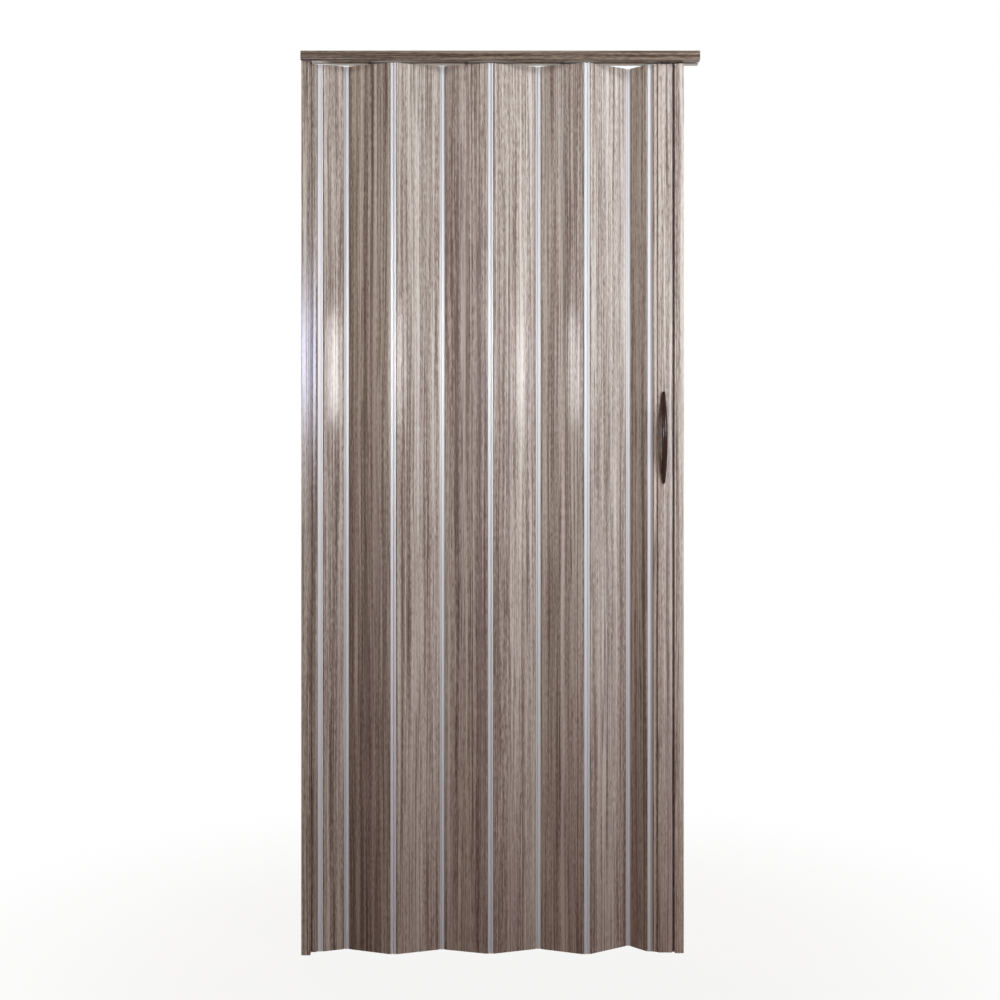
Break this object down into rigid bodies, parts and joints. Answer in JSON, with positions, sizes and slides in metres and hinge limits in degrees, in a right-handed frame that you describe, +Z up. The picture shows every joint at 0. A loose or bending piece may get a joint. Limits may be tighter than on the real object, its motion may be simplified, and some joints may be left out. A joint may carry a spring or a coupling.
{
  "type": "accordion door",
  "caption": "Folding door of hollow wood-look lamellae joined by pale clip-on hinge strips, hung by roller hangers from a slotted top track, with a fluted wall channel and bow handles.",
  "frame": {"origin": "middle of the top track's upper face, which meets the head of the opening", "axes": "+X along the track from the fixed jamb to the closing side, +Y towards the back, +Z up"},
  "size_m": [0.895, 0.0766, 2.03],
  "materials": {
    "wood_film": "hollow PVC extrusion with a satin grey-brown wood-grain film",
    "hinge_strip": "soft pale silver-grey PVC, smooth",
    "handle": "glossy very dark brown moulded plastic",
    "hanger": "black moulded nylon",
    "roller": "off-white turned acetal",
    "steel": "plain zinc-plated steel"
  },
  "bodies": {
    "fixed_frame": {"top_track": "wood_film", "wall_channel": "wood_film", "fixed_stile": "wood_film", "strip_1": "hinge_strip"},
    "panel_1": {"panel_1": "wood_film", "strip_2_left": "hinge_strip"},
    "panel_2": {"panel_2": "wood_film", "strip_2_right": "hinge_strip", "strip_3_left": "hinge_strip", "plug_1": "hanger"},
    "panel_3": {"panel_3": "wood_film", "strip_3_right": "hinge_strip", "strip_4_left": "hinge_strip"},
    "panel_4": {"panel_4": "wood_film", "strip_4_right": "hinge_strip", "strip_5_left": "hinge_strip", "plug_2": "hanger"},
    "panel_5": {"panel_5": "wood_film", "strip_5_right": "hinge_strip", "strip_6_left": "hinge_strip"},
    "panel_6": {"panel_6": "wood_film", "strip_6_right": "hinge_strip", "strip_7_left": "hinge_strip", "plug_3": "hanger"},
    "panel_7": {"panel_7": "wood_film", "strip_7_right": "hinge_strip", "strip_8_left": "hinge_strip"},
    "panel_8": {"panel_8": "wood_film", "strip_8_right": "hinge_strip"},
    "lead": {"strip_9": "hinge_strip", "lead_stile": "wood_film", "lead_channel": "wood_film", "handle_front": "handle", "handle_rear": "handle", "handle_screws": "steel", "carriage_4": "hanger", "pivot_4": "steel", "plug_4": "hanger", "carriage_5": "hanger", "pivot_5": "steel", "plug_5": "hanger"},
    "carriage_1": {"carriage_1": "hanger", "pivot_1": "steel"},
    "carriage_2": {"carriage_2": "hanger", "pivot_2": "steel"},
    "carriage_3": {"carriage_3": "hanger", "pivot_3": "steel"},
    "wheelset_1": {"axle_1": "steel", "wheels_1": "roller"},
    "wheelset_2": {"axle_2": "steel", "wheels_2": "roller"},
    "wheelset_3": {"axle_3": "steel", "wheels_3": "roller"},
    "wheelset_4": {"axle_4": "steel", "wheels_4": "roller"},
    "wheelset_5": {"axle_5": "steel", "wheels_5": "roller"}
  },
  "joints": [
    {"name": "fold", "type": "hinge", "parent": "fixed_frame", "child": "panel_1", "pos_m": [-0.4024, 0, -1], "axis": [0, 0, 1], "range_deg": [-10.8, 66.8]},
    {"name": "panel_2_hinge", "type": "hinge", "parent": "panel_1", "child": "panel_2", "pos_m": [-0.34849, 0.01566, -1], "axis": [0, 0, 1], "range_deg": [-133.6, 21.6]},
    {"name": "panel_3_hinge", "type": "hinge", "parent": "panel_2", "child": "panel_3", "pos_m": [-0.24067, -0.01566, -1], "axis": [0, 0, 1], "range_deg": [-21.89, 135.41]},
    {"name": "panel_4_hinge", "type": "hinge", "parent": "panel_3", "child": "panel_4", "pos_m": [-0.13192, 0.01225, -1], "axis": [0, 0, 1], "range_deg": [-139.01, 22.47]},
    {"name": "panel_5_hinge", "type": "hinge", "parent": "panel_4", "child": "panel_5", "pos_m": [-0.02235, -0.01225, -1], "axis": [0, 0, 1], "range_deg": [-22.43, 138.71]},
    {"name": "panel_6_hinge", "type": "hinge", "parent": "panel_5", "child": "panel_6", "pos_m": [0.08625, 0.01623, -1], "axis": [0, 0, 1], "range_deg": [-134.51, 21.75]},
    {"name": "panel_7_hinge", "type": "hinge", "parent": "panel_6", "child": "panel_7", "pos_m": [0.19374, -0.01623, -1], "axis": [0, 0, 1], "range_deg": [-19.48, 120.49]},
    {"name": "panel_8_hinge", "type": "hinge", "parent": "panel_7", "child": "panel_8", "pos_m": [0.29221, 0.03771, -1], "axis": [0, 0, 1], "range_deg": [-95.09, 15.37]},
    {"name": "lead_hinge", "type": "hinge", "parent": "panel_8", "child": "lead", "pos_m": [0.3338, 0, -1], "axis": [0, 0, 1], "range_deg": [-6.6, 40.8]},
    {"name": "carriage_1_swivel", "type": "hinge", "parent": "panel_2", "child": "carriage_1", "pos_m": [-0.29458, 0, -0.03], "axis": [0, 0, 1], "range_deg": [-10.8, 66.8]},
    {"name": "carriage_2_swivel", "type": "hinge", "parent": "panel_4", "child": "carriage_2", "pos_m": [-0.07713, 0, -0.03], "axis": [0, 0, 1], "range_deg": [-11.38, 70.4]},
    {"name": "carriage_3_swivel", "type": "hinge", "parent": "panel_6", "child": "carriage_3", "pos_m": [0.14, 0, -0.03], "axis": [0, 0, 1], "range_deg": [-10.7, 66.2]},
    {"name": "wheelset_1_roll", "type": "hinge", "parent": "carriage_1", "child": "wheelset_1", "pos_m": [-0.29458, 0, -0.0134], "axis": [0, 1, 0], "continuous": true},
    {"name": "wheelset_2_roll", "type": "hinge", "parent": "carriage_2", "child": "wheelset_2", "pos_m": [-0.07713, 0, -0.0134], "axis": [0, 1, 0], "continuous": true},
    {"name": "wheelset_3_roll", "type": "hinge", "parent": "carriage_3", "child": "wheelset_3", "pos_m": [0.14, 0, -0.0134], "axis": [0, 1, 0], "continuous": true},
    {"name": "wheelset_4_roll", "type": "hinge", "parent": "lead", "child": "wheelset_4", "pos_m": [0.36392, 0, -0.0134], "axis": [0, 1, 0], "continuous": true},
    {"name": "wheelset_5_roll", "type": "hinge", "parent": "lead", "child": "wheelset_5", "pos_m": [0.37877, 0, -0.0134], "axis": [0, 1, 0], "continuous": true}
  ],
  "couplings": [
    {"joint": "panel_2_hinge", "follows": "fold", "ratio": -2},
    {"joint": "panel_3_hinge", "follows": "fold", "ratio": 2.0271},
    {"joint": "panel_4_hinge", "follows": "fold", "ratio": -2.0809},
    {"joint": "panel_5_hinge", "follows": "fold", "ratio": 2.0765},
    {"joint": "panel_6_hinge", "follows": "fold", "ratio": -2.0136},
    {"joint": "panel_7_hinge", "follows": "fold", "ratio": 1.8037},
    {"joint": "panel_8_hinge", "follows": "fold", "ratio": -1.4235},
    {"joint": "lead_hinge", "follows": "fold", "ratio": 0.61078},
    {"joint": "carriage_1_swivel", "follows": "fold", "ratio": 1},
    {"joint": "carriage_2_swivel", "follows": "fold", "ratio": 1.0539},
    {"joint": "carriage_3_swivel", "follows": "fold", "ratio": 0.99102}
  ]
}
